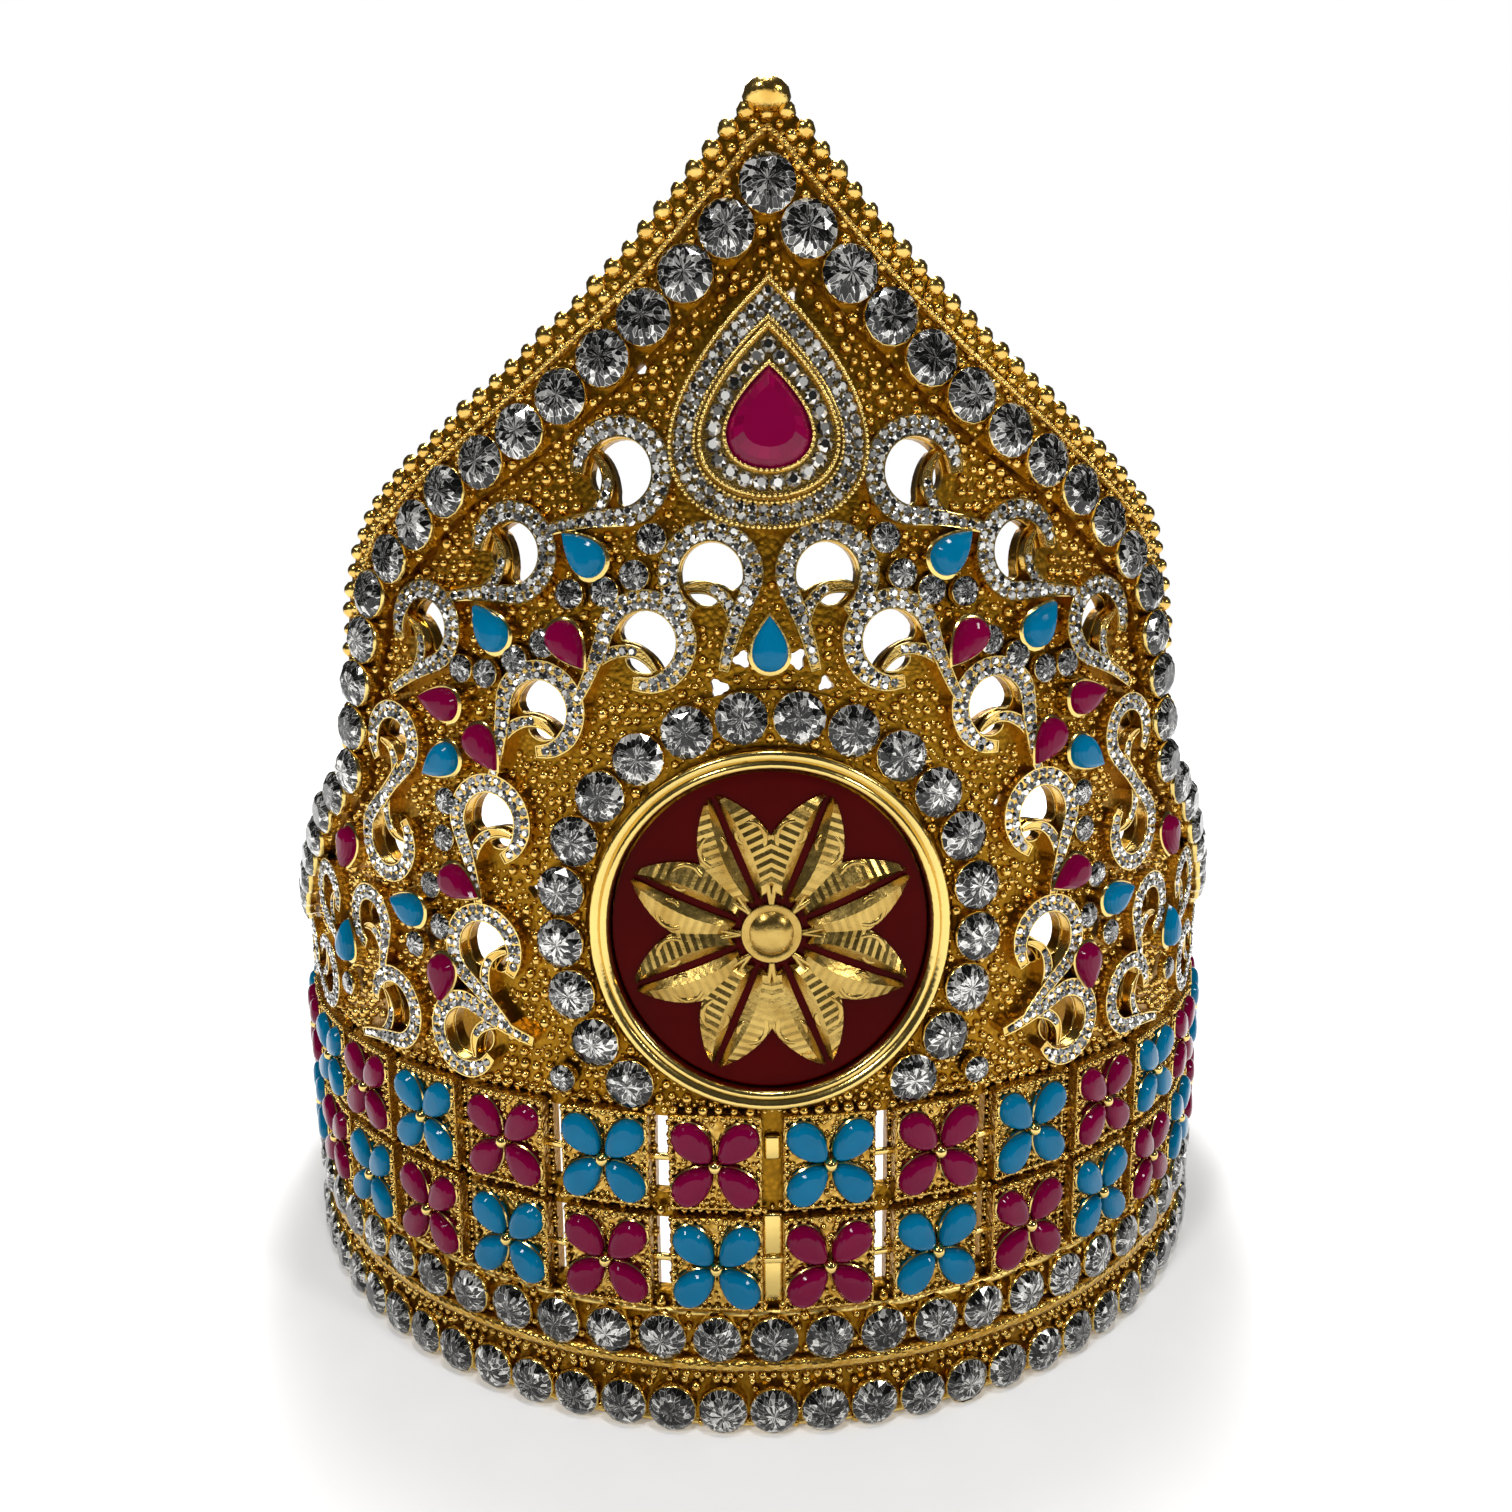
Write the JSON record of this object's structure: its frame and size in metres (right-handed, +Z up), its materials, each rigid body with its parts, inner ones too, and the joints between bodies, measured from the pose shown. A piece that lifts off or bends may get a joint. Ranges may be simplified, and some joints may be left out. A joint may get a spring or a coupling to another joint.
{
  "type": "ceremonial crown",
  "caption": "Tall pierced gold crown with a pointed front, low plain back band, stone rows, a round medallion and coloured drops; worn on the head.",
  "frame": {"origin": "on the upright axis of the round head band, level with its bottom rim", "axes": "+Z up through the head hollow, -Y towards the tall front with the medallion, +X to the right as seen from the front"},
  "size_m": [0.1808, 0.1795, 0.175],
  "materials": {
    "gold": "polished gold plating, lightly granulated between the scrolls",
    "tile_gold": "polished gold plating with coloured enamel petals",
    "crystal": "silver-backed cut crystal in gold cups",
    "enamel": "glossy dark red enamel",
    "ruby": "foil-backed deep pink red crystal",
    "turquoise": "foil-backed turquoise blue crystal"
  },
  "bodies": {
    "root": {"crown_frame": "gold", "lower_tile_row": "tile_gold", "upper_tile_row": "tile_gold", "bottom_stone_row": "crystal", "upper_stone_row": "crystal", "arch_stone_row": "crystal", "halo_stone_row": "crystal", "medallion_rim": "gold", "medallion_enamel": "enamel", "medallion_ornament": "gold", "crest_setting": "gold", "crest_ruby": "ruby", "drop_centre": "turquoise", "drop_left_01": "turquoise", "drop_left_02": "turquoise", "drop_left_03": "ruby", "drop_left_04": "ruby", "drop_left_05": "ruby", "drop_left_06": "turquoise", "drop_left_07": "ruby", "drop_left_08": "turquoise", "drop_left_09": "ruby", "drop_left_10": "ruby", "drop_left_11": "turquoise", "drop_right_01": "turquoise", "drop_right_02": "turquoise", "drop_right_03": "ruby", "drop_right_04": "ruby", "drop_right_05": "ruby", "drop_right_06": "turquoise", "drop_right_07": "ruby", "drop_right_08": "turquoise", "drop_right_09": "ruby", "drop_right_10": "ruby", "drop_right_11": "turquoise"}
  },
  "joints": []
}
